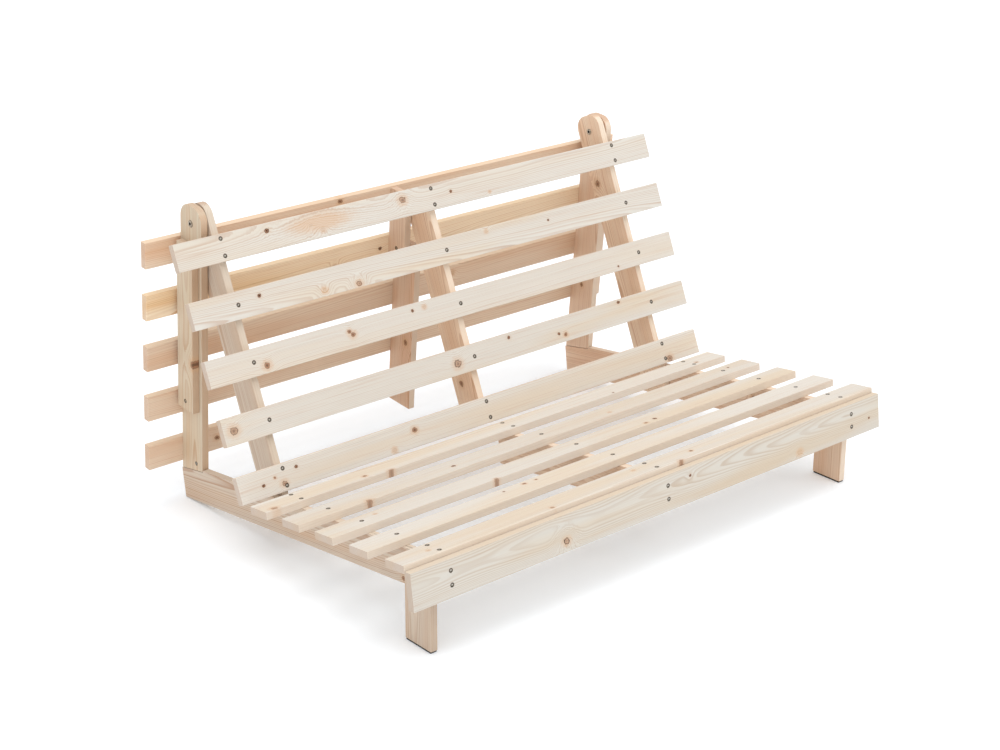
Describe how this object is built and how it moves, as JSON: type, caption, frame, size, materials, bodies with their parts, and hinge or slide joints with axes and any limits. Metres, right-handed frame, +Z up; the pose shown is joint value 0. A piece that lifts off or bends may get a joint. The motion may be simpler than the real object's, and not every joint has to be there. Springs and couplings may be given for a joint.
{
  "type": "slatted tri-fold sofa bed frame",
  "caption": "Slatted softwood sofa-bed frame standing as a sofa: seat, leaning back and rear support panel, hinged with bolts so that they fold out flat.",
  "frame": {"origin": "on the floor under the middle of the frame's bounding box, in the sofa position", "axes": "+Z up, front of the seat towards -Y, slats along X"},
  "size_m": [1.6, 1.1346, 0.8348],
  "materials": {
    "pine_slat": "planed, unfinished",
    "pine_rail": "planed, unfinished",
    "glide": "matte black",
    "screw": "dull, darkened",
    "bolt": "dull zinc"
  },
  "bodies": {
    "seat": {"seat_rail_left": "pine_rail", "seat_rail_middle": "pine_rail", "seat_rail_right": "pine_rail", "seat_slat_1": "pine_slat", "seat_slat_2": "pine_slat", "seat_slat_3": "pine_slat", "seat_slat_4": "pine_slat", "seat_slat_5": "pine_slat", "front_board": "pine_slat", "front_leg_left": "pine_rail", "front_leg_right": "pine_rail", "leg_glide_left": "glide", "leg_glide_right": "glide", "seat_slat_screws": "screw", "front_board_screws": "screw", "hinge_bolts": "bolt", "hinge_washers": "bolt", "hinge_cap_nuts": "bolt", "leg_bolts": "bolt", "leg_washers": "bolt", "leg_cap_nuts": "bolt"},
    "backrest": {"back_rail_left": "pine_rail", "back_rail_middle": "pine_rail", "back_rail_right": "pine_rail", "back_slat_1": "pine_slat", "back_slat_2": "pine_slat", "back_slat_3": "pine_slat", "back_slat_4": "pine_slat", "back_slat_5": "pine_slat", "back_slat_screws": "screw"},
    "rear_panel": {"rear_post_left": "pine_rail", "rear_post_right": "pine_rail", "rear_upright_middle": "pine_rail", "rear_batten_middle": "pine_rail", "post_batten_left": "pine_rail", "post_batten_right": "pine_rail", "rear_slat_1": "pine_slat", "rear_slat_2": "pine_slat", "rear_slat_3": "pine_slat", "rear_slat_4": "pine_slat", "rear_slat_5": "pine_slat", "rear_slat_screws": "screw", "batten_screws": "screw", "post_foot_screws": "screw", "apex_bolts": "bolt", "apex_washers": "bolt", "apex_cap_nuts": "bolt"}
  },
  "joints": [
    {"name": "backrest_recline", "type": "hinge", "parent": "seat", "child": "backrest", "pos_m": [0, 0.1493, 0.09914], "axis": [-1, 0, 0], "range_deg": [0, 70.7]},
    {"name": "rear_panel_open", "type": "hinge", "parent": "backrest", "child": "rear_panel", "pos_m": [0, 0.4431, 0.78463], "axis": [1, 0, 0], "range_deg": [0, 155.9]}
  ],
  "couplings": [
    {"joint": "rear_panel_open", "follows": "backrest_recline", "ratio": 2.205}
  ]
}
